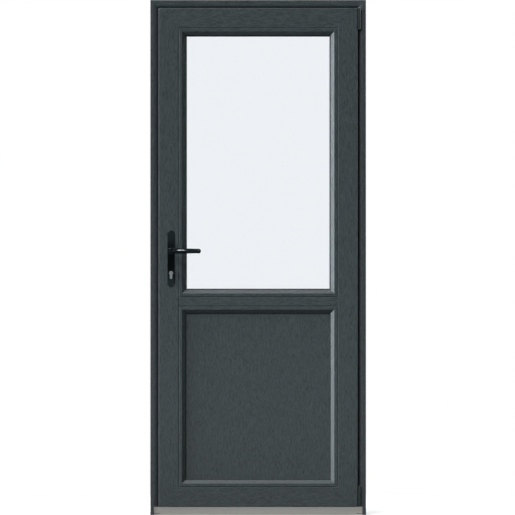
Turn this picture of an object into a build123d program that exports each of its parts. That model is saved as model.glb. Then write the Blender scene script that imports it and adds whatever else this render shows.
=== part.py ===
from build123d import *
from math import cos, radians, sin
import os

# Half-glazed entrance door of PVC profiles, in its frame, over an aluminium threshold.
# Millimetres. X runs to the right as seen from the room, Y runs outwards, Z is up.
# The origin is the middle of the threshold's underside, halfway through the frame.

# Frame
FRAME_WIDTH = 900.0
FRAME_HEIGHT = 2150.0
FRAME_DEPTH = 70.0  # from the face that the leaf laps to the outer side
FRAME_FACE = 35.0  # frame that shows beside and above the leaf
FACE_RISE = 8.0  # rounded outer face, proud of the lapped one
FACE_SLOPE = 11.0  # width over which it falls towards the leaf
FACE_ROUND = 30.0
FACE_FOOT_GAP = 2.0  # from the foot of the slope to the leaf's edge
STOP_REACH = 22.0  # weather stop, out of the rebate floor
STOP_THICKNESS = 15.0
FRAME_ROUND = 2.0

# Leaf in the frame
LEAF_LAP = 6.0  # leaf flange over the frame's nose
REBATE_GAP = 11.0  # air between the leaf's edge and the rebate floor
SEAL_GAP = 5.0  # between leaf and frame, in front and behind
SEAL_CLEARANCE = 0.3
SEAL_WIDTH = 5.0
SEAL_SHOULDER = 2.0  # straight part of a seal's sides
LEAF_SEAL_SHOW = 1.5  # black line that shows round the leaf

# Fixing screws through the jambs
FIXING_RADIUS = 4.0
FIXING_HEAD_RADIUS = 7.0
FIXING_HEAD_DEPTH = 4.0
FIXING_END = 250.0  # first and last hole from the ends of the jamb
FIXING_COUNT = 4
FIXING_DEPTH = 38.0  # from the face that the leaf laps

# Threshold
THRESHOLD_HEIGHT = 36.0
THRESHOLD_LIP = 15.0  # part of the jamb that runs down beside it
THRESHOLD_INNER_DEPTH = 39.0
THRESHOLD_BREAK_DEPTH = 12.0
THRESHOLD_FALL = 12.0  # outer edge below the inner one
THRESHOLD_LINE_HEIGHT = 7.0
THRESHOLD_ROUND = 1.5
TREAD_GROOVE_WIDTH = 2.0
TREAD_GROOVE_DEPTH = 1.2
TREAD_GROOVE_PITCH = 6.0
TREAD_GROOVE_COUNT = 4

# Leaf profiles
LEAF_DROP = 1.0  # leaf's lower edge below the top of the threshold
FLANGE_THICKNESS = 15.0
STILE_FACE = 83.5
LEG_REACH = 28.0  # fixed glazing leg on the outer side
LEG_THICKNESS = 21.0
LEG_SLOPE_WIDTH = 10.0
LEG_SLOPE_DEPTH = 8.0
LEAF_ROUND = 2.5
GROOVE = 2.2  # chamfers that meet as a groove beside each bead
MID_RAIL_FACE = 39.0
MID_RAIL_HEIGHT = 891.5

# Beads, glass and panel
BEAD_FLAT = 14.0
BEAD_SLOPE = 14.5
BEAD_EDGE = 2.0  # thickness left at the foot of the slope
BEAD_ROUND = 1.0
INFILL_THICKNESS = 28.0
INFILL_EDGE_GAP = 6.0
PANE_THICKNESS = 4.0
SPACER_WIDTH = 14.0
GASKET_THICKNESS = 4.0
GASKET_SEAT = 9.0  # part of a gasket behind the bead or the leg
GLASS_GASKET_SHOW = 5.5
PANEL_GASKET_SHOW = 2.0
GASKET_LIP = 1.2
GASKET_FEATHER = 0.8

# Bottom seal and weather bar
BOTTOM_SEAL_WIDTH = 9.0
BOTTOM_SEAL_ROOT = 5.0
BOTTOM_SEAL_FIN = 3.0
BOTTOM_SEAL_ROUND = 1.0
WEATHER_BAR_HEIGHT = 44.0
WEATHER_BAR_REACH = 34.0
WEATHER_BAR_NOSE = 9.0
WEATHER_BAR_RISE = 6.0  # above the lower edge of the leaf's body
WEATHER_BAR_END_GAP = 10.0  # to the weather stops
WEATHER_BAR_DRIP = 3.0  # width and depth of the drip groove
WEATHER_BAR_DRIP_SETBACK = 6.0
WEATHER_BAR_ROUND = 4.0
WEATHER_BAR_TOP_ROUND = 2.0

# Lock
BACKSET = 35.0
HANDLE_HEIGHT = 1102.0
CYLINDER_DROP = 92.0
LOCK_SETBACK = 18.0  # faceplate's middle from the flange
FACEPLATE_WIDTH = 16.0
FACEPLATE_THICKNESS = 3.0
FACEPLATE_HALF_LENGTH = 720.0
BOLT_WIDTH = 8.0
BOLT_DEPTH = 24.0
BOLT_CLEARANCE = 0.3
LATCH_RISE = 14.0
LATCH_HEIGHT = 26.0
LATCH_SLANT = 7.0
DEAD_BOLT_DROP = 52.0
DEAD_BOLT_HEIGHT = 34.0
HOOK_RISE = 620.0
HOOK_HEIGHT = 40.0
KEEP_THICKNESS = 3.0
KEEP_WIDTH = 20.0
KEEP_END = 22.0  # plate beyond the bolt's hole
KEEP_ROUND = 3.5
KEEP_HOLE_MARGIN = 3.0
KEEP_POCKET = 18.0

# Profile cylinder
CYLINDER_RADIUS = 8.5
CYLINDER_LEG_RADIUS = 5.0
CYLINDER_HEIGHT = 33.0
CYLINDER_PROUD = 2.5
CYLINDER_CLEARANCE = 0.3
PLUG_RADIUS = 6.8
PLUG_GROOVE = 0.5
KEYWAY_WIDTH = 2.0
KEYWAY_HEIGHT = 8.5
KEYWAY_DEPTH = 9.0

# Handle plates
PLATE_WIDTH = 30.5
PLATE_HEIGHT = 236.0
PLATE_ABOVE = 86.0  # plate's top end above the lever's axis
PLATE_THICKNESS = 9.5
PLATE_FALL = 4.5  # of the crowned face from its middle to its ends
PLATE_ROUND = 2.4
BOSS_RADIUS = 14.6
BOSS_RISE = 2.5
BOSS_ROUND = 1.2

# Levers
LEVER_REACH = 123.0
LEVER_STANDOFF = 48.0  # middle of the grip from the leaf's face
LEVER_ELBOW = 12.0
LEVER_ROOT_HEIGHT = 19.5
LEVER_ROOT_DEPTH = 14.0
LEVER_BELLY_REACH = 40.0  # thickest place, from the axis
LEVER_BELLY_HEIGHT = 22.5
LEVER_BELLY_DEPTH = 15.5
LEVER_BELLY_BOW = 1.5  # of its middle towards the hand
LEVER_WAIST_REACH = 70.0  # place where the belly has run out, from the axis
LEVER_WAIST_HEIGHT = 18.4
LEVER_WAIST_DEPTH = 12.5
LEVER_WAIST_BOW = 0.6
LEVER_TIP_HEIGHT = 16.8
LEVER_TIP_DEPTH = 11.0
LEVER_TIP_LENGTH = 8.0
LEVER_TIP_RETURN = 5.0  # of the tip's middle towards the leaf
TIP_ANGLES = (0, 20, 40, 58, 73, 84)  # sections of the rounded tip, along a quarter round
NECK_RADIUS = 12.0
SHANK_RADIUS = 8.0
SHANK_CLEARANCE = 0.1
LEVER_CLEARANCE = 0.3
SPINDLE_SIDE = 8.0
SPINDLE_HOLE_RADIUS = 11.0

# Hinges
HINGE_OFFSET = 7.0  # axis from the leaf's edge
BARREL_RADIUS = 6.2
BARREL_LENGTH = 88.0
BARREL_ROUND = 1.5
KNUCKLE_GAP = 0.4
PIN_RADIUS = 3.5
PIN_CLEARANCE = 0.06
PIN_COVER = 5.0  # knuckle left over the pin's end
DOWEL_RADIUS = 4.0
DOWEL_DEPTH = 34.0
DOWEL_CLEARANCE = 0.2

TOLERANCE = 0.01  # for telling edges apart

# Planes and edges that follow from the sizes above
half_width = FRAME_WIDTH / 2
frame_front = -FRAME_DEPTH / 2
face_front = frame_front - FACE_RISE
frame_back = FRAME_DEPTH / 2
nose = FRAME_FACE + LEAF_LAP
stop_front = frame_back - STOP_THICKNESS
clear_half = half_width - nose - STOP_REACH
leaf_half = half_width - FRAME_FACE
leaf_bottom = THRESHOLD_HEIGHT - LEAF_DROP
leaf_top = FRAME_HEIGHT - FRAME_FACE
flange_back = frame_front - SEAL_GAP
leaf_front = flange_back - FLANGE_THICKNESS
leaf_back = stop_front - SEAL_GAP
flange_reach = LEAF_LAP + REBATE_GAP
leg_front = leaf_back - LEG_THICKNESS
infill_back = leg_front - GASKET_THICKNESS
infill_front = infill_back - INFILL_THICKNESS
bead_back = infill_front - GASKET_THICKNESS
bead_width = BEAD_FLAT + BEAD_SLOPE
opening_half = leaf_half - STILE_FACE
mid_rail_top = MID_RAIL_HEIGHT + MID_RAIL_FACE / 2
mid_rail_bottom = MID_RAIL_HEIGHT - MID_RAIL_FACE / 2
handle_x = -leaf_half + flange_reach + BACKSET
lock_face_x = -leaf_half + flange_reach
lock_y = flange_back + LOCK_SETBACK
hinge_x = leaf_half + HINGE_OFFSET
hinge_y = leaf_front + FLANGE_THICKNESS / 2
boss_height = PLATE_THICKNESS + BOSS_RISE

# Rings of mitred pieces: left, bottom, right and top edges in the plane of the door
frame_ring = (-half_width, 0.0, half_width, FRAME_HEIGHT)
leaf_ring = (-leaf_half, leaf_bottom, leaf_half, leaf_top)
glass_ring = (-opening_half, mid_rail_top, opening_half, leaf_top - STILE_FACE)
panel_ring = (-opening_half, leaf_bottom + STILE_FACE, opening_half, mid_rail_bottom)

# Heights of the bolts and of the jamb fixings
bolts = {
    "latch": (HANDLE_HEIGHT + LATCH_RISE, LATCH_HEIGHT),
    "dead_bolt": (HANDLE_HEIGHT - DEAD_BOLT_DROP, DEAD_BOLT_HEIGHT),
    "upper_hook": (HANDLE_HEIGHT + HOOK_RISE, HOOK_HEIGHT),
    "lower_hook": (HANDLE_HEIGHT - HOOK_RISE, HOOK_HEIGHT),
}
fixing_pitch = (FRAME_HEIGHT - 2 * FIXING_END) / (FIXING_COUNT - 1)
fixing_heights = [FIXING_END + i * fixing_pitch for i in range(FIXING_COUNT)]


def outline(*corners):
    """Closed face through (u, v, round) corners; a round of 0 keeps the corner sharp."""
    points = [(u, v) for u, v, _ in corners]
    rounds = [r for _, _, r in corners]
    return make_face(FilletPolyline(*points, radius=rounds, close=True).edges())


def along_x(face, start, end):
    """Extrude a face drawn in (y, z) from one x to another."""
    return extrude(Plane(origin=(start, 0, 0), x_dir=(0, 1, 0), z_dir=(1, 0, 0)) * face, amount=end - start)


def along_y(face, start, end):
    """Extrude a face drawn in (x, z) from one y to another."""
    return extrude(Plane(origin=(0, end, 0), x_dir=(1, 0, 0), z_dir=(0, -1, 0)) * face, amount=end - start)


def block(x, y, z):
    """Box between two ends on each axis, given as (low, high) pairs."""
    size = [high - low for low, high in (x, y, z)]
    middle = [(high + low) / 2 for low, high in (x, y, z)]
    return Pos(*middle) * Box(*size)


def mitred(section, length, start=True, end=True):
    """Run of a section along +Z, its u inwards along +X, cut at 45 degrees at the ends asked for."""
    inner = section.bounding_box().max.X
    outer = min(section.bounding_box().min.X, 0)
    reach = 2 * FRAME_DEPTH
    low = (outer, inner) if start else (0, 0)
    high = (length - outer, length - inner) if end else (length, length)
    corners = [(outer, low[0]), (outer, high[0]), (inner, high[1]), (inner, low[1])]
    trim = make_face(Polyline(*corners, close=True).edges())
    run = Pos(0, 0, low[0]) * extrude(section, amount=high[0] - low[0], dir=(0, 0, 1))
    return run & along_y(trim, -reach, reach)


def ring_sides(section, ring, open_bottom=False):
    """The left, top, right and bottom pieces of a mitred ring, without the bottom one when it is open."""
    x0, z0, x1, z1 = ring
    upright = z1 - z0
    across = x1 - x0
    sides = {
        "left": Pos(x0, 0, z0) * mitred(section, upright, start=not open_bottom),
        "top": Pos(x0, 0, z1) * Rot(0, 90, 0) * mitred(section, across),
        "right": Pos(x1, 0, z1) * Rot(0, 180, 0) * mitred(section, upright, end=not open_bottom),
    }
    if not open_bottom:
        sides["bottom"] = Pos(x1, 0, z0) * Rot(0, -90, 0) * mitred(section, across)
    return sides


def joined(pieces):
    """One solid from pieces that meet face to face."""
    first, *rest = list(pieces)
    return first.fuse(*rest).clean()


def bulb(middle, seat, tip):
    """Rounded seal section on a seat at depth y, reaching to a tip at another depth."""
    low = middle - SEAL_WIDTH / 2
    high = middle + SEAL_WIDTH / 2
    shoulder = seat + SEAL_SHOULDER * (1 if tip > seat else -1)
    dome = ThreePointArc((high, shoulder), (middle, tip), (low, shoulder))
    base = Polyline((low, shoulder), (low, seat), (high, seat), (high, shoulder))
    return make_face(dome.edges() + base.edges())


# Sections of the profiles, u inwards from the piece's outer edge and y through the door
def frame_section():
    """Rounded face that falls towards the leaf, nose that the leaf laps, rebate floor and weather stop."""
    foot = FRAME_FACE - FACE_FOOT_GAP
    return outline(
        (0, face_front, FRAME_ROUND),
        (foot - FACE_SLOPE, face_front, FACE_ROUND),
        (foot, frame_front, 0),
        (nose, frame_front, FRAME_ROUND),
        (nose, stop_front, 0),
        (nose + STOP_REACH, stop_front, FRAME_ROUND),
        (nose + STOP_REACH, frame_back, FRAME_ROUND),
        (0, frame_back, FRAME_ROUND),
    )


def leaf_section():
    leg_end = STILE_FACE + LEG_REACH
    return outline(
        (0, leaf_front, LEAF_ROUND),
        (STILE_FACE - GROOVE, leaf_front, 0),
        (STILE_FACE, leaf_front + GROOVE, 0),
        (STILE_FACE, leg_front, 0),
        (leg_end, leg_front, 0),
        (leg_end, leaf_back - LEG_SLOPE_DEPTH, 0),
        (leg_end - LEG_SLOPE_WIDTH, leaf_back, LEAF_ROUND),
        (flange_reach, leaf_back, LEAF_ROUND),
        (flange_reach, flange_back, 0),
        (0, flange_back, LEAF_ROUND),
    )


def mid_rail_section():
    """Drawn in (y, z) about the rail's middle, with a fixed leg above and below."""
    face = MID_RAIL_FACE / 2
    leg = face + LEG_REACH
    upper = [
        (leaf_front + GROOVE, face, 0),
        (leg_front, face, 0),
        (leg_front, leg, 0),
        (leaf_back - LEG_SLOPE_DEPTH, leg, 0),
        (leaf_back, leg - LEG_SLOPE_WIDTH, LEAF_ROUND),
    ]
    lower = [(y, -z, r) for y, z, r in reversed(upper)]
    front = [(leaf_front, -face + GROOVE, 0), (leaf_front, face - GROOVE, 0)]
    return outline(*upper, *lower, *front)


def bead_section():
    return outline(
        (0, leaf_front + GROOVE, 0),
        (GROOVE, leaf_front, 0),
        (BEAD_FLAT, leaf_front, BEAD_ROUND),
        (bead_width, bead_back - BEAD_EDGE, BEAD_ROUND),
        (bead_width, bead_back, 0),
        (0, bead_back, 0),
    )


def front_gasket_section(show):
    """Strip between the bead and the infill, with a lip that shows beside the bead."""
    return outline(
        (bead_width - GASKET_SEAT, bead_back, 0),
        (bead_width, bead_back, 0),
        (bead_width, bead_back - GASKET_LIP, 0),
        (bead_width + show, infill_front - GASKET_FEATHER, 0),
        (bead_width + show, infill_front, 0),
        (bead_width - GASKET_SEAT, infill_front, 0),
    )


def back_gasket_section(show):
    """Strip between the infill and the fixed outer leg, with a lip that shows beside the leg."""
    return outline(
        (LEG_REACH - GASKET_SEAT, leg_front, 0),
        (LEG_REACH, leg_front, 0),
        (LEG_REACH + show, infill_back + GASKET_FEATHER, 0),
        (LEG_REACH + show, infill_back, 0),
        (LEG_REACH - GASKET_SEAT, infill_back, 0),
    )


def make_threshold():
    """Inner profile, thermal break and sloping outer profile, between the lips of the jambs."""
    half = half_width - THRESHOLD_LIP
    inner_back = frame_front + THRESHOLD_INNER_DEPTH
    break_back = inner_back + THRESHOLD_BREAK_DEPTH
    top = THRESHOLD_HEIGHT
    line = THRESHOLD_LINE_HEIGHT
    notch = TREAD_GROOVE_WIDTH / 2
    inner = outline(
        (frame_front, 0, 0),
        (frame_front, line - notch, 0),
        (frame_front + notch, line, 0),
        (frame_front, line + notch, 0),
        (frame_front, top, THRESHOLD_ROUND),
        (inner_back, top, 0),
        (inner_back, 0, 0),
    )
    middle = outline((inner_back, 0, 0), (inner_back, top, 0), (break_back, top, 0), (break_back, 0, 0))
    outer = outline(
        (break_back, 0, 0),
        (break_back, top, 0),
        (frame_back, top - THRESHOLD_FALL, THRESHOLD_ROUND),
        (frame_back, 0, 0),
    )
    groove = Rectangle(TREAD_GROOVE_WIDTH, 2 * TREAD_GROOVE_DEPTH)
    first = inner_back - TREAD_GROOVE_COUNT * TREAD_GROOVE_PITCH
    for i in range(TREAD_GROOVE_COUNT):
        inner -= Pos(first + i * TREAD_GROOVE_PITCH, top) * groove
    return {
        "threshold_inner": along_x(inner, -half, half),
        "threshold_break": along_x(middle, -half, half),
        "threshold_outer": along_x(outer, -half, half),
    }


def fixing_hole(side, height):
    """Screw hole through a jamb with a sunk head in the rebate, side -1 at the lock and +1 at the hinges."""
    y = frame_front + FIXING_DEPTH
    floor = side * (half_width - nose)
    middle = side * (half_width - nose / 2)
    shank = Pos(middle, y, height) * Rot(0, 90, 0) * Cylinder(FIXING_RADIUS, nose)
    head = Pos(floor, y, height) * Rot(0, 90, 0) * Cylinder(FIXING_HEAD_RADIUS, 2 * FIXING_HEAD_DEPTH)
    return shank + head


def make_frame(threshold):
    """Two jambs notched over the threshold and a head, mitred at the upper corners."""
    sides = ring_sides(frame_section(), frame_ring, open_bottom=True)
    lock_jamb = sides["left"]
    hinge_jamb = sides["right"]
    half = half_width - THRESHOLD_LIP
    before_threshold = block((-half, half), (face_front, frame_front), (0, THRESHOLD_HEIGHT))
    for piece in [*threshold.values(), before_threshold]:
        lock_jamb -= piece
        hinge_jamb -= piece
    for height in fixing_heights:
        lock_jamb -= fixing_hole(-1, height)
        hinge_jamb -= fixing_hole(1, height)
    floor_x = -half_width + nose
    for height, tall in bolts.values():
        lock_jamb -= keep_hole(height, tall, floor_x - KEEP_POCKET, floor_x)
    for low in hinge_heights():
        hinge_jamb -= frame_dowel(low, DOWEL_CLEARANCE)
    return {"lock_jamb": lock_jamb, "hinge_jamb": hinge_jamb, "frame_head": sides["top"]}


def make_frame_seal(threshold):
    """Weather seal on the stops, from the threshold up, across the head and down."""
    middle = nose + (REBATE_GAP + STOP_REACH) / 2
    section = bulb(middle, stop_front, leaf_back + SEAL_CLEARANCE)
    seal = joined(ring_sides(section, frame_ring, open_bottom=True).values())
    for piece in threshold.values():
        seal -= piece
    return seal


def keep_hole(height, tall, x0, x1):
    """Space for a bolt in a keep or behind it."""
    y = BOLT_WIDTH / 2 + KEEP_HOLE_MARGIN
    z = tall / 2 + KEEP_HOLE_MARGIN
    return block((x0, x1), (lock_y - y, lock_y + y), (height - z, height + z))


def keep(names):
    """Plate on the rebate floor with a hole for each of the named bolts."""
    x0 = -half_width + nose
    x1 = x0 + KEEP_THICKNESS
    lows = [bolts[name][0] - bolts[name][1] / 2 for name in names]
    highs = [bolts[name][0] + bolts[name][1] / 2 for name in names]
    z = (min(lows) - KEEP_END, max(highs) + KEEP_END)
    plate = block((x0, x1), (lock_y - KEEP_WIDTH / 2, lock_y + KEEP_WIDTH / 2), z)
    plate = fillet(plate.edges().filter_by(Axis.X), KEEP_ROUND)
    for name in names:
        height, tall = bolts[name]
        plate -= keep_hole(height, tall, x0, x1)
    return plate


def hinge_heights():
    """Lower ends of the two barrels, flush with the leaf's lower and upper edge."""
    return [leaf_bottom, leaf_top - BARREL_LENGTH]


def frame_dowel(low, grow=0.0):
    """Peg from the middle of the lower knuckle back into the jamb."""
    height = low + BARREL_LENGTH / 4
    return Pos(hinge_x, 0, height) * along_y(Circle(DOWEL_RADIUS + grow), hinge_y, frame_front + DOWEL_DEPTH)


def leaf_dowel(low, grow=0.0):
    """Peg from the middle of the upper knuckle sideways into the leaf's flange."""
    height = low + BARREL_LENGTH * 3 / 4
    peg = along_x(Circle(DOWEL_RADIUS + grow), leaf_half - DOWEL_DEPTH, hinge_x)
    return Pos(0, hinge_y, height) * peg


def knuckle(low, high):
    """One half of the barrel, with its ends eased."""
    body = Pos(hinge_x, hinge_y, (low + high) / 2) * Cylinder(BARREL_RADIUS, high - low)
    return fillet(body.edges().filter_by(GeomType.CIRCLE), BARREL_ROUND)


def make_hinge(low):
    """Frame half with its pin below, and leaf half with the blind bore above."""
    split = low + BARREL_LENGTH / 2
    top = low + BARREL_LENGTH
    pin_top = top - PIN_COVER
    axis = Pos(hinge_x, hinge_y, 0)
    pin = axis * Pos(0, 0, (split + pin_top) / 2) * Cylinder(PIN_RADIUS, pin_top - split)
    frame_half = knuckle(low, split) + frame_dowel(low) + pin
    bore_top = pin_top + KNUCKLE_GAP
    bore = axis * Pos(0, 0, (split + bore_top) / 2) * Cylinder(PIN_RADIUS + PIN_CLEARANCE, bore_top - split)
    leaf_half_piece = knuckle(split + KNUCKLE_GAP, top) + leaf_dowel(low) - bore
    return frame_half, leaf_half_piece


def make_leaf():
    """Stiles and rails mitred at the corners, and a middle rail coped over the stiles' legs."""
    sides = ring_sides(leaf_section(), leaf_ring)
    lock_stile = sides["left"]
    hinge_stile = sides["right"]
    top_rail = sides["top"]
    mid_rail = Pos(0, 0, MID_RAIL_HEIGHT) * along_x(mid_rail_section(), -opening_half, opening_half)
    mid_rail = mid_rail - lock_stile - hinge_stile
    for low in hinge_heights():
        hinge_stile -= leaf_dowel(low, DOWEL_CLEARANCE)
        top_rail -= leaf_dowel(low, DOWEL_CLEARANCE)
    lock_stile -= at_handle(along_y(Circle(SPINDLE_HOLE_RADIUS), leaf_front, leaf_back))
    lock_stile -= at_cylinder(along_y(cylinder_outline(CYLINDER_CLEARANCE), leaf_front, leaf_back))
    lock_stile -= faceplate_strip()
    for height, tall in bolts.values():
        lock_stile -= bolt(height, tall, BOLT_CLEARANCE)
    return {
        "lock_stile": lock_stile,
        "hinge_stile": hinge_stile,
        "top_rail": top_rail,
        "bottom_rail": sides["bottom"],
        "mid_rail": mid_rail,
    }


def make_beads(name, ring):
    """Four mitred glazing beads round one field of the leaf."""
    return {f"{name}_bead_{side}": piece for side, piece in ring_sides(bead_section(), ring).items()}


def make_gaskets(ring, show):
    """Front and back gasket of one field, each a closed ring."""
    front = joined(ring_sides(front_gasket_section(show), ring).values())
    back = joined(ring_sides(back_gasket_section(show), ring).values())
    return Compound(children=[front, back])


def infill(ring, front, back, inset=INFILL_EDGE_GAP):
    """Flat sheet in a field of the leaf, clear of the rebate all round."""
    x0, z0, x1, z1 = ring
    return block((x0 + inset, x1 - inset), (front, back), (z0 + inset, z1 - inset))


def make_glass():
    """Two panes and the spacer that holds them apart."""
    front = infill_front + PANE_THICKNESS
    back = infill_back - PANE_THICKNESS
    hollow = infill(glass_ring, front, back, INFILL_EDGE_GAP + SPACER_WIDTH)
    return {
        "glass_front_pane": infill(glass_ring, infill_front, front),
        "glass_back_pane": infill(glass_ring, back, infill_back),
        "glass_spacer": infill(glass_ring, front, back) - hollow,
    }


def make_leaf_seal():
    """Seal behind the flange on the two sides and the top, with an edge that shows round the leaf."""
    tip = frame_front - SEAL_CLEARANCE
    strip = outline(
        (-LEAF_SEAL_SHOW, flange_back + LEAF_ROUND, 0),
        (LEAF_LAP / 2, flange_back + LEAF_ROUND, 0),
        (LEAF_LAP / 2, tip, 0),
        (-LEAF_SEAL_SHOW, tip, 0),
    )
    section = bulb(LEAF_LAP / 2, flange_back, tip) + strip
    return joined(ring_sides(section, leaf_ring, open_bottom=True).values())


def make_bottom_seal():
    """Finned strip under the bottom rail that sweeps the threshold."""
    top = leaf_bottom + flange_reach
    middle = frame_front + THRESHOLD_INNER_DEPTH / 2
    root = BOTTOM_SEAL_WIDTH / 2
    fin = BOTTOM_SEAL_FIN / 2
    under = top - BOTTOM_SEAL_ROOT
    tip = THRESHOLD_HEIGHT + SEAL_CLEARANCE
    half = leaf_half - flange_reach
    section = outline(
        (middle - root, top, 0),
        (middle + root, top, 0),
        (middle + root, under, 0),
        (middle + fin, under, 0),
        (middle + fin, tip, BOTTOM_SEAL_ROUND),
        (middle - fin, tip, BOTTOM_SEAL_ROUND),
        (middle - fin, under, 0),
        (middle - root, under, 0),
    )
    return along_x(section, -half, half)


def make_weather_bar():
    """Sloping drip bar along the foot of the leaf's outer face."""
    low = leaf_bottom + flange_reach + WEATHER_BAR_RISE
    high = low + WEATHER_BAR_HEIGHT
    tip = leaf_back + WEATHER_BAR_REACH
    drip_high = low + WEATHER_BAR_DRIP
    drip_outside = tip - WEATHER_BAR_DRIP_SETBACK
    drip_inside = drip_outside - WEATHER_BAR_DRIP
    half = clear_half - WEATHER_BAR_END_GAP
    section = outline(
        (leaf_back, low, 0),
        (drip_inside, low, 0),
        (drip_inside, drip_high, 0),
        (drip_outside, drip_high, 0),
        (drip_outside, low, 0),
        (tip, low, 0),
        (tip, low + WEATHER_BAR_NOSE, WEATHER_BAR_ROUND),
        (leaf_back + WEATHER_BAR_ROUND, high, WEATHER_BAR_TOP_ROUND),
        (leaf_back, high, 0),
    )
    return along_x(section, -half, half)


def at_handle(piece):
    return Pos(handle_x, 0, HANDLE_HEIGHT) * piece


def at_cylinder(piece):
    return Pos(handle_x, 0, HANDLE_HEIGHT - CYLINDER_DROP) * piece


def faceplate_strip():
    """Long strip let into the leaf's lock edge."""
    y = FACEPLATE_WIDTH / 2
    z = (HANDLE_HEIGHT - FACEPLATE_HALF_LENGTH, HANDLE_HEIGHT + FACEPLATE_HALF_LENGTH)
    return block((lock_face_x, lock_face_x + FACEPLATE_THICKNESS), (lock_y - y, lock_y + y), z)


def bolt(height, tall, grow=0.0):
    """Bolt drawn back into the lock, flush with the faceplate."""
    y = BOLT_WIDTH / 2 + grow
    z = tall / 2 + grow
    x = (lock_face_x, lock_face_x + BOLT_DEPTH + grow)
    return block(x, (lock_y - y, lock_y + y), (height - z, height + z))


def latch(height, tall):
    """The spring latch: a bolt whose end slants on the side that meets the keep first."""
    near = lock_y - BOLT_WIDTH / 2
    far = lock_y + BOLT_WIDTH / 2
    end = lock_face_x + BOLT_DEPTH
    heel = lock_face_x + LATCH_SLANT
    shape = outline((lock_face_x, near, 0), (end, near, 0), (end, far, 0), (heel, far, 0))
    return Pos(0, 0, height - tall / 2) * extrude(shape, tall)


def make_lock():
    """Faceplate with a hole for each bolt, and the bolts."""
    faceplate = faceplate_strip()
    pieces = []
    for name, (height, tall) in bolts.items():
        faceplate -= bolt(height, tall, BOLT_CLEARANCE)
        pieces.append(latch(height, tall) if name == "latch" else bolt(height, tall))
    return {"lock_faceplate": faceplate, "lock_bolts": Compound(children=pieces)}


def cylinder_outline(grow=0.0):
    """Profile cylinder seen from the front: a round head over a narrower leg."""
    radius = CYLINDER_RADIUS + grow
    leg = CYLINDER_LEG_RADIUS + grow
    drop = CYLINDER_HEIGHT - CYLINDER_RADIUS - CYLINDER_LEG_RADIUS
    return Circle(radius) + Pos(0, -drop / 2) * Rectangle(2 * leg, drop) + Pos(0, -drop) * Circle(leg)


def make_cylinder():
    """Profile cylinder right through the leaf, with a plug and a keyway at each end."""
    front = leaf_front - PLATE_THICKNESS - CYLINDER_PROUD
    back = leaf_back + PLATE_THICKNESS + CYLINDER_PROUD
    body = along_y(cylinder_outline(), front, back)
    ring = Circle(PLUG_RADIUS + PLUG_GROOVE) - Circle(PLUG_RADIUS)
    keyway = Rectangle(KEYWAY_WIDTH, KEYWAY_HEIGHT)
    body -= along_y(ring, front, front + PLUG_GROOVE)
    body -= along_y(ring, back - PLUG_GROOVE, back)
    body -= along_y(keyway, front, front + KEYWAY_DEPTH)
    body -= along_y(keyway, back - KEYWAY_DEPTH, back)
    return at_cylinder(body)


def plate_side():
    """The plate seen from the side, drawn in (y, z) about the lever's axis, its face one long arc."""
    high = PLATE_ABOVE
    low = PLATE_ABOVE - PLATE_HEIGHT
    middle = (high + low) / 2
    end = -PLATE_THICKNESS + PLATE_FALL
    face = ThreePointArc((end, low), (-PLATE_THICKNESS, middle), (end, high))
    walls = Polyline((end, high), (0, high), (0, low), (end, low))
    return make_face(face.edges() + walls.edges())


def rim_edges(plate):
    """Edges between the face and the walls, all off the back."""
    return [edge for edge in plate.edges() if edge.bounding_box().max.Y < -TOLERANCE]


def handle_plate():
    """Room-side plate about the lever's axis, on the plane y = 0, with its boss and holes."""
    middle = PLATE_ABOVE - PLATE_HEIGHT / 2
    slot = Pos(0, middle) * Rot(0, 0, 90) * SlotOverall(PLATE_HEIGHT, PLATE_WIDTH)
    plate = along_y(slot, -PLATE_THICKNESS, 0) & along_x(plate_side(), -PLATE_WIDTH, PLATE_WIDTH)
    plate = fillet(rim_edges(plate), PLATE_ROUND)
    boss = along_y(Circle(BOSS_RADIUS), -boss_height, 0)
    plate += fillet(boss.edges().sort_by(Axis.Y)[:1], BOSS_ROUND)
    plate -= along_y(Circle(SHANK_RADIUS + SHANK_CLEARANCE), -boss_height, 0)
    plate -= Pos(0, 0, -CYLINDER_DROP) * along_y(cylinder_outline(CYLINDER_CLEARANCE), -PLATE_THICKNESS, 0)
    return plate


def lever():
    """Room-side lever about its axis, on the plane y = 0: shank, flared neck, elbow and bellied grip."""
    root = boss_height + LEVER_CLEARANCE
    bend = LEVER_STANDOFF - LEVER_ELBOW
    half_depth = LEVER_ROOT_DEPTH / 2
    half_height = LEVER_ROOT_HEIGHT / 2
    across_neck = Plane(origin=(0, -bend, 0), x_dir=(1, 0, 0), z_dir=(0, -1, 0))
    neck_end = across_neck * Ellipse(half_depth, half_height)
    neck_root = Plane(origin=(0, -root, 0), x_dir=(1, 0, 0), z_dir=(0, -1, 0)) * Circle(NECK_RADIUS)
    shank = along_y(Circle(SHANK_RADIUS), -root, 0)
    neck = loft([neck_root, neck_end])
    elbow = revolve(neck_end, Axis((LEVER_ELBOW, -bend, 0), (0, 0, 1)), 90)
    return shank + neck + elbow + grip()


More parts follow.
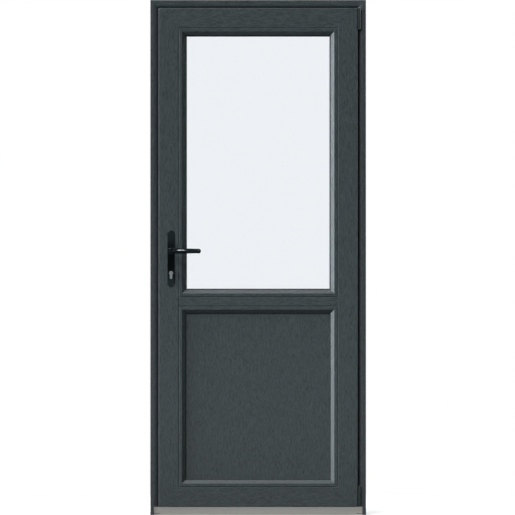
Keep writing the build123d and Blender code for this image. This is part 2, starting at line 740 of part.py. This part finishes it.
def grip():
    """Oval bar from the elbow over a belly to a rounded tip, bowed towards the hand."""
    tip_start = LEVER_REACH - LEVER_TIP_LENGTH
    root = grip_section(LEVER_ELBOW, LEVER_ROOT_DEPTH, LEVER_ROOT_HEIGHT)
    belly = grip_section(LEVER_BELLY_REACH, LEVER_BELLY_DEPTH, LEVER_BELLY_HEIGHT, LEVER_BELLY_BOW)
    waist = grip_section(LEVER_WAIST_REACH, LEVER_WAIST_DEPTH, LEVER_WAIST_HEIGHT, LEVER_WAIST_BOW)
    rounding = []
    for angle in TIP_ANGLES:
        share = cos(radians(angle))
        x = tip_start + LEVER_TIP_LENGTH * sin(radians(angle))
        depth = LEVER_TIP_DEPTH * share
        height = LEVER_TIP_HEIGHT * share
        rounding.append(grip_section(x, depth, height, -LEVER_TIP_RETURN))
    return loft([root, belly, waist, rounding[0]]) + loft(rounding)


def grip_section(x, depth, height, bow=0.0):
    plane = Plane(origin=(x, -LEVER_STANDOFF - bow, 0), x_dir=(0, 1, 0), z_dir=(1, 0, 0))
    return plane * Ellipse(depth / 2, height / 2)


def on_front(piece):
    return at_handle(Pos(0, leaf_front, 0) * piece)


def on_back(piece):
    return at_handle(Pos(0, leaf_back, 0) * mirror(piece, Plane.XZ))


def make_handles():
    """Plates and levers on both faces, and the square spindle between the levers."""
    side = SPINDLE_SIDE / 2
    plate = handle_plate()
    arm = lever()
    return {
        "front_handle_plate": on_front(plate),
        "back_handle_plate": on_back(plate),
        "front_lever": on_front(arm),
        "back_lever": on_back(arm),
        "spindle": at_handle(block((-side, side), (leaf_front, leaf_back), (-side, side))),
    }


def build():
    nodes = make_threshold()
    threshold = dict(nodes)
    nodes.update(make_frame(threshold))
    nodes["frame_seal"] = make_frame_seal(threshold)
    nodes["latch_keep"] = keep(["latch", "dead_bolt"])
    nodes["hook_keeps"] = Compound(children=[keep(["upper_hook"]), keep(["lower_hook"])])
    for name, low in zip(("bottom", "top"), hinge_heights()):
        frame_half, leaf_half_piece = make_hinge(low)
        nodes[f"{name}_hinge_frame_half"] = frame_half
        nodes[f"{name}_hinge_leaf_half"] = leaf_half_piece
    nodes.update(make_leaf())
    nodes.update(make_beads("glass", glass_ring))
    nodes.update(make_beads("panel", panel_ring))
    nodes.update(make_glass())
    nodes["infill_panel"] = infill(panel_ring, infill_front, infill_back)
    nodes["glass_gaskets"] = make_gaskets(glass_ring, GLASS_GASKET_SHOW)
    nodes["panel_gaskets"] = make_gaskets(panel_ring, PANEL_GASKET_SHOW)
    nodes["leaf_seal"] = make_leaf_seal()
    nodes["bottom_seal"] = make_bottom_seal()
    nodes["weather_bar"] = make_weather_bar()
    nodes.update(make_lock())
    nodes["lock_cylinder"] = make_cylinder()
    nodes.update(make_handles())
    return nodes


os.makedirs("parts", exist_ok=True)
for node, shape in build().items():
    export_step(shape, f"parts/{node}.step")
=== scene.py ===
import math
import bmesh
import bpy
from mathutils import Matrix, Vector


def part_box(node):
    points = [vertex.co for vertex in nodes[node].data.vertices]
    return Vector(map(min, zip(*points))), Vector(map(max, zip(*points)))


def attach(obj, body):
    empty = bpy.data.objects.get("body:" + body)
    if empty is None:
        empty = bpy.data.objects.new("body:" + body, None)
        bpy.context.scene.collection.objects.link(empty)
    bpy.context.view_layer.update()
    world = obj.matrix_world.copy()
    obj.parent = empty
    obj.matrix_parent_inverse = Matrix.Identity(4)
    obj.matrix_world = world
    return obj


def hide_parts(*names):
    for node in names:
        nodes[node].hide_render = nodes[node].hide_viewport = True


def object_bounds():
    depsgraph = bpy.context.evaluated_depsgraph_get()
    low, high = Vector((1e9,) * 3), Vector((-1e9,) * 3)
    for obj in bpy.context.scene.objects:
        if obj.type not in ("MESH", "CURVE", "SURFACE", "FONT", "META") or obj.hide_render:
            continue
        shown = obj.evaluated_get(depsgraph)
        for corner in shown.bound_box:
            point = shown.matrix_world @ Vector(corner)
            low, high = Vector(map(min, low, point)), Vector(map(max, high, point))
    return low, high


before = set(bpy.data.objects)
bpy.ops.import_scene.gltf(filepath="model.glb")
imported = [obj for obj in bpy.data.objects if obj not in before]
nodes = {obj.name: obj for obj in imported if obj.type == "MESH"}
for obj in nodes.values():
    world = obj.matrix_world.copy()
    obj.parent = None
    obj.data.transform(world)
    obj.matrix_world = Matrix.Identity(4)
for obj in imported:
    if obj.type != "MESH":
        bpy.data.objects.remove(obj)  # bodies, nodes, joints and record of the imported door
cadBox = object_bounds()
mm = 0.001
print("loaded", len(nodes), "nodes of the door")


# Helpers for materials and meshes
def linearColour(hexText, alpha=1.0):
    channels = [int(hexText[i:i + 2], 16) / 255 for i in (1, 3, 5)]
    bent = [c / 12.92 if c <= 0.04045 else ((c + 0.055) / 1.055) ** 2.4 for c in channels]
    return (*bent, alpha)


def addNode(tree, kind, settings=None, inputs=None):
    node = tree.nodes.new(kind)
    for name, value in (settings or {}).items():
        setattr(node, name, value)
    for name, value in (inputs or {}).items():
        if isinstance(value, bpy.types.NodeSocket):
            tree.links.new(value, node.inputs[name])
        else:
            node.inputs[name].default_value = value
    return node


def newMaterial(name):
    material = bpy.data.materials.new(name)
    material.use_nodes = True
    material.node_tree.nodes.clear()
    return material, material.node_tree


def perMetre(sizesMm):
    return tuple(1 / (size * mm) for size in sizesMm)


def dress(material, *names):
    for name in names:
        for slot in nodes[name].material_slots:
            slot.material = material


def meshObject(name, bm, material):
    mesh = bpy.data.meshes.new(name)
    bm.to_mesh(mesh)
    bm.free()
    mesh.materials.append(material)
    made = bpy.data.objects.new(name, mesh)
    bpy.context.scene.collection.objects.link(made)
    return made


noiseGain = 0.55  # how much each finer layer of a noise counts


# PVC profiles laminated with an embossed woodgrain film: satin anthracite, with short pores and
# slow streaks along the grain. The real pores are 0.4 mm wide, drawn 2 mm wide so that they show.
foil = {
    "streakMm": (5.0, 36.0), "streakDetail": 3.0, "streakSpan": (0.28, 0.72),
    "poreMm": (2.0, 14.0), "poreDetail": 1.0, "poreSpan": (0.34, 0.46),
    "embossDepthMm": 0.35, "embossStrength": 0.25,
    "leafTones": ("#272F31", "#3A4345", "#1D2426"), "jambTones": ("#282D31", "#3A4044", "#1D2226"),
    "roughness": (0.42, 0.54), "ior": 1.53,
}


def woodgrainFilm(name, alongX, shift, tones="leafTones"):
    material, tree = newMaterial(name)
    dark, light, pore = [linearColour(tone) for tone in foil[tones]]
    place = addNode(tree, "ShaderNodeTexCoord")
    grain = {}
    for pattern in ("streak", "pore"):
        wide, long = foil[pattern + "Mm"]
        sizes = (long, wide, wide) if alongX else (wide, wide, long)
        mapping = addNode(tree, "ShaderNodeMapping", inputs={
            "Vector": place.outputs["Object"], "Scale": perMetre(sizes), "Location": shift})
        noise = addNode(tree, "ShaderNodeTexNoise", inputs={
            "Vector": mapping.outputs["Vector"], "Scale": 1.0, "Detail": foil[pattern + "Detail"],
            "Roughness": noiseGain})
        grain[pattern] = noise.outputs["Fac"]
    streaks = addNode(tree, "ShaderNodeMapRange", inputs={
        "Value": grain["streak"], "From Min": foil["streakSpan"][0], "From Max": foil["streakSpan"][1]})
    tone = addNode(tree, "ShaderNodeMix", {"data_type": "RGBA"}, {
        "Factor": streaks.outputs["Result"], "A": dark, "B": light})
    pores = addNode(tree, "ShaderNodeMapRange", inputs={
        "Value": grain["pore"], "From Min": foil["poreSpan"][0], "From Max": foil["poreSpan"][1],
        "To Min": 1.0, "To Max": 0.0})
    colour = addNode(tree, "ShaderNodeMix", {"data_type": "RGBA"}, {
        "Factor": pores.outputs["Result"], "A": tone.outputs["Result"], "B": pore})
    rough = addNode(tree, "ShaderNodeMapRange", inputs={
        "Value": streaks.outputs["Result"], "To Min": foil["roughness"][0], "To Max": foil["roughness"][1]})
    bump = addNode(tree, "ShaderNodeBump", inputs={
        "Height": grain["pore"], "Strength": foil["embossStrength"], "Distance": foil["embossDepthMm"] * mm})
    film = addNode(tree, "ShaderNodeBsdfPrincipled", inputs={
        "Base Color": colour.outputs["Result"], "Roughness": rough.outputs["Result"], "IOR": foil["ior"],
        "Normal": bump.outputs["Normal"]})
    addNode(tree, "ShaderNodeOutputMaterial", inputs={"Surface": film.outputs["BSDF"]})
    return material


leafUpright = woodgrainFilm("pvcFilmLeafUpright", False, (3.1, 0.0, 7.7))
leafAcross = woodgrainFilm("pvcFilmLeafAcross", True, (1.3, 5.2, 0.4))
frameUpright = woodgrainFilm("pvcFilmFrameUpright", False, (8.4, 2.6, 0.0), "jambTones")
frameAcross = woodgrainFilm("pvcFilmFrameAcross", True, (0.0, 9.1, 6.5))
beadUpright = woodgrainFilm("pvcFilmBeadUpright", False, (5.7, 4.4, 2.2))
beadAcross = woodgrainFilm("pvcFilmBeadAcross", True, (2.9, 0.8, 3.3))
panelFilm = woodgrainFilm("pvcFilmPanel", False, (6.6, 1.7, 9.8))
dress(leafUpright, "lock_stile", "hinge_stile")
dress(leafAcross, "top_rail", "mid_rail", "bottom_rail", "weather_bar")
dress(frameUpright, "lock_jamb", "hinge_jamb")
dress(frameAcross, "frame_head")
dress(panelFilm, "infill_panel")
for field in ("glass", "panel"):
    dress(beadUpright, f"{field}_bead_left", f"{field}_bead_right")
    dress(beadAcross, f"{field}_bead_top", f"{field}_bead_bottom")
print("profiles filmed")


# Finishes with a fine even pattern: two tones, a pattern size for each axis, and a roughness.
# EPDM rubber is dull and nearly black. Anodised aluminium, zinc-plated steel and satin nickel
# show brushing lines along their length, really 0.1 mm apart and drawn coarser so that they show.
# Stoved lacquer has a slight orange peel and mirrors less on the levers, and moulded polyamide is
# plain and matt.
finePattern = {"detail": 2.0, "span": (0.3, 0.7), "roughnessSpread": 0.03}
finishes = {
    "epdmRubber": {"dark": "#08090A", "light": "#121314", "patternMm": (14.0, 14.0, 14.0), "roughness": 0.7},
    "anodisedAluminium": {
        "dark": "#C6C4BE", "light": "#D2D0CA", "patternMm": (160.0, 1.6, 1.6),
        "roughness": 0.44, "metallic": 0.65},
    "zincPlatedSteel": {
        "dark": "#8F9294", "light": "#A9ACAE", "patternMm": (1.2, 1.2, 60.0),
        "roughness": 0.34, "metallic": 1.0},
    "satinNickel": {
        "dark": "#A6A7AA", "light": "#BABBBE", "patternMm": (1.0, 8.0, 1.0),
        "roughness": 0.42, "metallic": 1.0},
    "blackLacquer": {"dark": "#020506", "light": "#05090B", "patternMm": (3.0, 3.0, 3.0), "roughness": 0.15},
    "gripLacquer": {
        "dark": "#020506", "light": "#05090B", "patternMm": (3.0, 3.0, 3.0), "roughness": 0.15, "ior": 1.2},
    "greyLacquer": {"dark": "#161F20", "light": "#1C2728", "patternMm": (3.0, 3.0, 3.0), "roughness": 0.5},
    "blackPolyamide": {"dark": "#151516", "light": "#202021", "patternMm": (2.0, 2.0, 2.0), "roughness": 0.5},
}


def plainFinish(name):
    look = finishes[name]
    material, tree = newMaterial(name)
    place = addNode(tree, "ShaderNodeTexCoord")
    mapping = addNode(tree, "ShaderNodeMapping", inputs={
        "Vector": place.outputs["Object"], "Scale": perMetre(look["patternMm"])})
    noise = addNode(tree, "ShaderNodeTexNoise", inputs={
        "Vector": mapping.outputs["Vector"], "Scale": 1.0, "Detail": finePattern["detail"],
        "Roughness": noiseGain})
    spread = addNode(tree, "ShaderNodeMapRange", inputs={
        "Value": noise.outputs["Fac"], "From Min": finePattern["span"][0], "From Max": finePattern["span"][1]})
    tone = addNode(tree, "ShaderNodeMix", {"data_type": "RGBA"}, {
        "Factor": spread.outputs["Result"], "A": linearColour(look["dark"]), "B": linearColour(look["light"])})
    rough = addNode(tree, "ShaderNodeMapRange", inputs={
        "Value": spread.outputs["Result"], "To Min": look["roughness"] - finePattern["roughnessSpread"],
        "To Max": look["roughness"] + finePattern["roughnessSpread"]})
    skin = addNode(tree, "ShaderNodeBsdfPrincipled", inputs={
        "Base Color": tone.outputs["Result"], "Roughness": rough.outputs["Result"],
        "Metallic": look.get("metallic", 0.0), "IOR": look.get("ior", 1.5)})
    addNode(tree, "ShaderNodeOutputMaterial", inputs={"Surface": skin.outputs["BSDF"]})
    return material


zinc = plainFinish("zincPlatedSteel")
dress(plainFinish("epdmRubber"), "frame_seal", "leaf_seal", "bottom_seal", "glass_gaskets", "panel_gaskets")
dress(plainFinish("anodisedAluminium"), "threshold_inner", "threshold_outer")
dress(zinc, "lock_faceplate", "lock_bolts", "latch_keep", "hook_keeps", "spindle")
dress(plainFinish("satinNickel"), "lock_cylinder")
dress(plainFinish("blackLacquer"), "front_handle_plate", "back_handle_plate")
dress(plainFinish("greyLacquer"), "top_hinge_frame_half", "bottom_hinge_frame_half", "top_hinge_leaf_half",
      "bottom_hinge_leaf_half")
dress(plainFinish("blackPolyamide"), "threshold_break", "glass_spacer")


# Clear float glass: a cool cast, sharp reflections, and lamps shine through it
pane = {"tint": "#F8FAFC", "ior": 1.52}


def floatGlass():
    material, tree = newMaterial("floatGlass")
    shader = addNode(tree, "ShaderNodeBsdfPrincipled", inputs={
        "Base Color": linearColour(pane["tint"]), "Roughness": 0.0, "IOR": pane["ior"],
        "Transmission Weight": 1.0})
    clear = addNode(tree, "ShaderNodeBsdfTransparent", inputs={"Color": linearColour(pane["tint"])})
    path = addNode(tree, "ShaderNodeLightPath")
    either = addNode(tree, "ShaderNodeMixShader", inputs={
        0: path.outputs["Is Shadow Ray"], 1: shader.outputs["BSDF"], 2: clear.outputs["BSDF"]})
    addNode(tree, "ShaderNodeOutputMaterial", inputs={"Surface": either.outputs["Shader"]})
    return material


dress(floatGlass(), "glass_front_pane", "glass_back_pane")
print("glass, rubber, metals and lacquers set")


# Zinc-plated screws with low heads and six-point sockets, seen when the leaf stands open: in the
# lock's faceplate, also beside the cylinder, and in the keeps on the jamb
screw = {
    "headMm": 6.4, "rimMm": 0.35, "crownMm": 0.6, "sunkMm": 0.2, "segments": 24,
    "socketMm": 3.6, "socketDeepMm": 0.5, "socketPoints": 6, "socketLobe": 0.14,
    "faceplateMm": (-700, -560, -400, -170, -92, 70, 320, 560, 700),  # heights from the lever's axis
    "latchKeepMm": (-82, -18, 40), "hookKeepMm": (-653, -587, 587, 653),
}


def socketScrews(name, body, plate, side, heights):
    low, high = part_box(plate)
    faceX = high.x if side > 0 else low.x
    axisZ = sum(corner.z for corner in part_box("spindle")) / 2
    bm = bmesh.new()
    bmesh.ops.create_circle(bm, cap_ends=True, segments=screw["segments"], radius=screw["headMm"] / 2 * mm)
    raised = bmesh.ops.extrude_face_region(bm, geom=bm.faces[:])["geom"]
    top = next(part for part in raised if isinstance(part, bmesh.types.BMFace))
    bmesh.ops.translate(bm, vec=(0, 0, (screw["sunkMm"] + screw["rimMm"]) * mm), verts=top.verts[:])
    bmesh.ops.inset_region(bm, faces=[top], thickness=(screw["headMm"] - screw["socketMm"]) / 2 * mm)
    bmesh.ops.translate(bm, vec=(0, 0, (screw["crownMm"] - screw["rimMm"]) * mm), verts=top.verts[:])
    for corner in top.verts:
        wave = math.cos(screw["socketPoints"] * math.atan2(corner.co.y, corner.co.x))
        corner.co.xy = corner.co.xy * (1 - screw["socketLobe"] * (1 - wave))
    sunk = bmesh.ops.extrude_face_region(bm, geom=[top])["geom"]
    bmesh.ops.translate(bm, vec=(0, 0, -screw["socketDeepMm"] * mm), verts=[
        part for part in sunk if isinstance(part, bmesh.types.BMVert)])
    bmesh.ops.recalc_face_normals(bm, faces=bm.faces[:])
    bmesh.ops.rotate(bm, matrix=Matrix.Rotation(side * math.radians(90), 3, "Y"), verts=bm.verts[:])
    first = bm.verts[:] + bm.edges[:] + bm.faces[:]
    for height in heights:
        copied = bmesh.ops.duplicate(bm, geom=first)["geom"]
        bmesh.ops.translate(
            bm, vec=(faceX - side * screw["sunkMm"] * mm, (low.y + high.y) / 2, axisZ + height * mm),
            verts=[part for part in copied if isinstance(part, bmesh.types.BMVert)])
    bmesh.ops.delete(
        bm, geom=[part for part in first if isinstance(part, bmesh.types.BMVert)], context="VERTS")
    piece = meshObject(name, bm, zinc)
    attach(piece, body)


socketScrews("faceplateScrews", "leaf", "lock_faceplate", -1, screw["faceplateMm"])
socketScrews("latchKeepScrews", "frame", "latch_keep", 1, screw["latchKeepMm"])
socketScrews("hookKeepScrews", "frame", "hook_keeps", 1, screw["hookKeepMm"])
print("lock and keeps screwed on")


# Levers: the CAD shapes, taller over the glass, where the grip tapers evenly to its tip. The middle
# of the taller stretch is measured from the lever's axis, and its reach to either side.
lever = {"middleMm": 95.0, "reachMm": 50.0, "taller": 0.25, "weldMm": 0.001, "creaseDeg": 30}
gripLacquer = plainFinish("gripLacquer")


def fullerLever(name, node):
    axis = sum(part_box("spindle"), Vector()) / 2
    bm = bmesh.new()
    bm.from_mesh(nodes[node].data)
    bmesh.ops.remove_doubles(bm, verts=bm.verts[:], dist=lever["weldMm"] * mm)
    for vert in bm.verts:
        offMiddle = abs(vert.co.x - axis.x - lever["middleMm"] * mm) / (lever["reachMm"] * mm)
        bulge = math.cos(min(offMiddle, 1.0) * math.pi / 2) ** 2
        vert.co.z = axis.z + (vert.co.z - axis.z) * (1 + lever["taller"] * bulge)
    bmesh.ops.recalc_face_normals(bm, faces=bm.faces[:])
    for face in bm.faces:
        face.smooth = True
    piece = meshObject(name, bm, gripLacquer)
    piece.data.set_sharp_from_angle(angle=math.radians(lever["creaseDeg"]))
    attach(piece, "lever")
    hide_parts(node)
    return piece


levers = [fullerLever("frontLeverGrip", "front_lever"), fullerLever("backLeverGrip", "back_lever")]
print("levers shaped")


# Rays that see the white backdrop: straight from the camera or through the panes, and in mirrors.
# What a bead mirrors of the backdrop through the pane stays out, so that the beads keep their depth:
# such a ray has bounced an odd number of times if it ends behind the door, and else an even number.
def backdropRays(tree, path, towardsBack):
    bounced = addNode(tree, "ShaderNodeMath", {"operation": "GREATER_THAN"}, {
        0: path.outputs["Glossy Depth"], 1: 0.5})
    odd = addNode(tree, "ShaderNodeMath", {"operation": "MODULO"}, {0: path.outputs["Glossy Depth"], 1: 2.0})
    behind = addNode(tree, "ShaderNodeMath", {"operation": "GREATER_THAN"}, {0: towardsBack, 1: 0.0})
    outOfBead = addNode(tree, "ShaderNodeMath", {"operation": "COMPARE"}, {
        0: odd.outputs["Value"], 1: behind.outputs["Value"], 2: 0.5})
    bentThrough = addNode(tree, "ShaderNodeMath", {"operation": "MULTIPLY"}, {
        0: bounced.outputs["Value"], 1: path.outputs["Is Transmission Ray"]})
    stray = addNode(tree, "ShaderNodeMath", {"operation": "MULTIPLY"}, {
        0: bentThrough.outputs["Value"], 1: outOfBead.outputs["Value"]})
    first = addNode(tree, "ShaderNodeMath", {"operation": "LESS_THAN"}, {
        0: path.outputs["Diffuse Depth"], 1: 0.5})
    through = addNode(tree, "ShaderNodeMath", {"operation": "MULTIPLY"}, {
        0: first.outputs["Value"], 1: path.outputs["Is Transmission Ray"]})
    seen = addNode(tree, "ShaderNodeMath", {"operation": "MAXIMUM"}, {
        0: path.outputs["Is Camera Ray"], 1: through.outputs["Value"]})
    direct = addNode(tree, "ShaderNodeMath", {"operation": "SUBTRACT", "use_clamp": True}, {
        0: seen.outputs["Value"], 1: stray.outputs["Value"]})
    mirrored = addNode(tree, "ShaderNodeMath", {"operation": "SUBTRACT", "use_clamp": True}, {
        0: path.outputs["Is Glossy Ray"], 1: path.outputs["Is Transmission Ray"]})
    return direct.outputs["Value"], mirrored.outputs["Value"]


# Pale floor that turns to plain white away from the door. It throws back only part of the light,
# so that the undersides stay as dark as in a large room.
ground = {
    "radius": 9.0, "segments": 64, "whiteFrom": 0.9, "whiteAt": 1.7,
    "seen": "#FAFAFA", "bounce": "#5A5A5A", "mirrored": "#B4CCD2",
}


def paleFloor():
    material, tree = newMaterial("paleFloor")
    place = addNode(tree, "ShaderNodeTexCoord")
    reach = addNode(tree, "ShaderNodeVectorMath", {"operation": "LENGTH"}, {"Vector": place.outputs["Object"]})
    far = addNode(tree, "ShaderNodeMapRange", {"interpolation_type": "SMOOTHSTEP"}, {
        "Value": reach.outputs["Value"], "From Min": ground["whiteFrom"], "From Max": ground["whiteAt"]})
    path = addNode(tree, "ShaderNodeLightPath")
    axes = addNode(tree, "ShaderNodeSeparateXYZ", inputs={"Vector": place.outputs["Object"]})
    direct, mirrored = backdropRays(tree, path, axes.outputs["Y"])
    either = addNode(tree, "ShaderNodeMath", {"operation": "MAXIMUM"}, {0: direct, 1: mirrored})
    share = addNode(tree, "ShaderNodeMath", {"operation": "MULTIPLY"}, {
        0: far.outputs["Result"], 1: either.outputs["Value"]})
    colour = addNode(tree, "ShaderNodeMix", {"data_type": "RGBA"}, {
        "Factor": direct, "A": linearColour(ground["bounce"]), "B": linearColour(ground["seen"])})
    matte = addNode(tree, "ShaderNodeBsdfDiffuse", inputs={"Color": colour.outputs["Result"]})
    glow = addNode(tree, "ShaderNodeMix", {"data_type": "RGBA"}, {
        "Factor": direct, "A": linearColour(ground["mirrored"]), "B": (1, 1, 1, 1)})
    white = addNode(tree, "ShaderNodeEmission", inputs={"Color": glow.outputs["Result"], "Strength": 1.0})
    mix = addNode(tree, "ShaderNodeMixShader", inputs={
        0: share.outputs["Value"], 1: matte.outputs["BSDF"], 2: white.outputs["Emission"]})
    addNode(tree, "ShaderNodeOutputMaterial", inputs={"Surface": mix.outputs["Shader"]})
    bm = bmesh.new()
    bmesh.ops.create_circle(bm, cap_ends=True, segments=ground["segments"], radius=ground["radius"])
    floor = meshObject("floor", bm, material)


paleFloor()

# Studio: a white backdrop behind the door, a dim room in front of it, and soft lamps. In mirrors the
# backdrop fades in between two directions, as shares of straight backwards.
studio = {"fill": 0.04, "dimRoom": 0.02, "backFrom": 0.6, "backFull": 0.95}


def whiteStudio():
    world = bpy.data.worlds.new("whiteStudio")
    world.use_nodes = True
    tree = world.node_tree
    tree.nodes.clear()
    place = addNode(tree, "ShaderNodeTexCoord")
    axes = addNode(tree, "ShaderNodeSeparateXYZ", inputs={"Vector": place.outputs["Generated"]})
    behind = addNode(tree, "ShaderNodeMapRange", {"interpolation_type": "SMOOTHSTEP"}, {
        "Value": axes.outputs["Y"], "From Min": studio["backFrom"], "From Max": studio["backFull"]})
    path = addNode(tree, "ShaderNodeLightPath")
    direct, mirrored = backdropRays(tree, path, axes.outputs["Y"])
    inMirrors = addNode(tree, "ShaderNodeMath", {"operation": "MULTIPLY"}, {
        0: mirrored, 1: behind.outputs["Result"]})
    share = addNode(tree, "ShaderNodeMath", {"operation": "MAXIMUM"}, {
        0: inMirrors.outputs["Value"], 1: direct})
    strength = addNode(tree, "ShaderNodeMapRange", inputs={
        "Value": path.outputs["Is Glossy Ray"], "To Min": studio["fill"], "To Max": studio["dimRoom"]})
    room = addNode(tree, "ShaderNodeBackground", inputs={
        "Color": (1, 1, 1, 1), "Strength": strength.outputs["Result"]})
    backdrop = addNode(tree, "ShaderNodeBackground", inputs={"Color": (1, 1, 1, 1), "Strength": 1.0})
    mix = addNode(tree, "ShaderNodeMixShader", inputs={
        0: share.outputs["Value"], 1: room.outputs["Background"], 2: backdrop.outputs["Background"]})
    addNode(tree, "ShaderNodeOutputWorld", inputs={"Surface": mix.outputs["Shader"]})
    bpy.context.scene.world = world


whiteStudio()
aim = Vector((0, 0, 1.1))  # what the area lamps point at
plates = [nodes["front_handle_plate"], nodes["back_handle_plate"]]
sill = [nodes["threshold_inner"], nodes["threshold_outer"]]
glassBeads = [nodes[f"glass_bead_{edge}"] for edge in ("left", "right", "top", "bottom")]
lamps = {  # a flag lets a lamp light only some pieces, all without some, or pass some by with no shadow
    "keyLight": {
        "from": (-0.62, -0.48, 0.62), "strength": 1.2, "angle": 30,
        "without": levers, "passes": levers + plates},
    "leftLight": {
        "from": (-0.97, -0.20, 0.10), "strength": 3.4, "angle": 25, "colour": "#F0FAFF",
        "without": levers + plates, "passes": levers + plates},
    "topLight": {
        "from": (0.0, -0.25, 0.97), "strength": 0.85, "angle": 30, "colour": "#F4FBFF", "without": levers},
    "frontBox": {"at": (-14.0, -21.0, 23.0), "size": (13.0, 4.4), "watts": 7400, "without": levers + sill},
    "handleBox": {"at": (-0.2, -9.3, 5.7), "size": (2.5, 1.2), "watts": 4400, "only": levers},
    "farPanel": {"at": (0.0, -20.0, 4.1), "size": (8.0, 2.2), "watts": 32, "colour": "#CEF2FF", "only": plates},
    "sillLight": {"at": (0.0, -3.0, 0.15), "size": (1.6, 0.3), "watts": 3.2, "only": sill},
    "lowLight": {"at": (0.0, -2.0, 0.2), "size": (1.6, 0.3), "watts": 3, "without": glassBeads},
    "backLamp": {"at": (2.6, 3.2, 3.0), "size": (2.4, 2.4), "watts": 150, "without": glassBeads},
    "sideLamp": {"at": (4.0, 0.9, 1.8), "size": (1.6, 2.2), "watts": 110, "without": glassBeads},
}
for name, lamp in lamps.items():
    light = bpy.data.lights.new(name, "SUN" if "from" in lamp else "AREA")
    light.color = linearColour(lamp.get("colour", "#FFFFFF"))[:3]
    lampObject = bpy.data.objects.new(name, light)
    if light.type == "SUN":
        light.energy = lamp["strength"]
        light.angle = math.radians(lamp["angle"])
        pointing = -Vector(lamp["from"])
    else:
        light.shape = "RECTANGLE"
        light.size, light.size_y = lamp["size"]
        light.energy = lamp["watts"]
        lampObject.location = lamp["at"]
        pointing = aim - Vector(lamp["at"])
    lampObject.rotation_euler = pointing.to_track_quat("-Z", "Y").to_euler()
    lampObject.visible_camera = False
    bpy.context.scene.collection.objects.link(lampObject)
    for flag in [word for word in ("only", "without", "passes") if word in lamp]:
        group = bpy.data.collections.new(name + flag.title())
        for piece in lamp[flag]:
            group.objects.link(piece)
        for member in group.collection_objects:
            member.light_linking.link_state = "INCLUDE" if flag == "only" else "EXCLUDE"
        if flag == "passes":
            lampObject.light_linking.blocker_collection = group
        else:
            lampObject.light_linking.receiver_collection = group
print("studio lit")

# Straight front view through a long lens. The photograph is 515 pixels square, and the frame's
# outer edges stand at these pixels.
photo = {"pixels": 515, "left": 150.1, "right": 366.2, "top": -0.15, "bottom": 515.15, "lens": 300.0}


def frontCamera():
    low, high = cadBox
    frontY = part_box("lock_jamb")[0].y
    pixelsPerMetre = (photo["bottom"] - photo["top"]) / (high.z - low.z)
    wide = photo["pixels"] / pixelsPerMetre
    data = bpy.data.cameras.new("frontCamera")
    data.lens = photo["lens"]
    away = wide / 2 * data.lens / (data.sensor_width / 2)
    aside = photo["pixels"] / 2 - (photo["left"] + photo["right"]) / 2
    above = (photo["top"] + photo["bottom"]) / 2 - photo["pixels"] / 2
    middleX = (low.x + high.x) / 2 + aside / pixelsPerMetre
    middleZ = (low.z + high.z) / 2 + above / pixelsPerMetre
    data.clip_end = 2 * away
    camera = bpy.data.objects.new("frontCamera", data)
    camera.location = (middleX, frontY - away, middleZ)
    camera.rotation_euler = (math.radians(90), 0, 0)
    bpy.context.scene.collection.objects.link(camera)
    bpy.context.scene.camera = camera


frontCamera()
bpy.context.scene.view_settings.view_transform = "Standard"

print("door dressed")
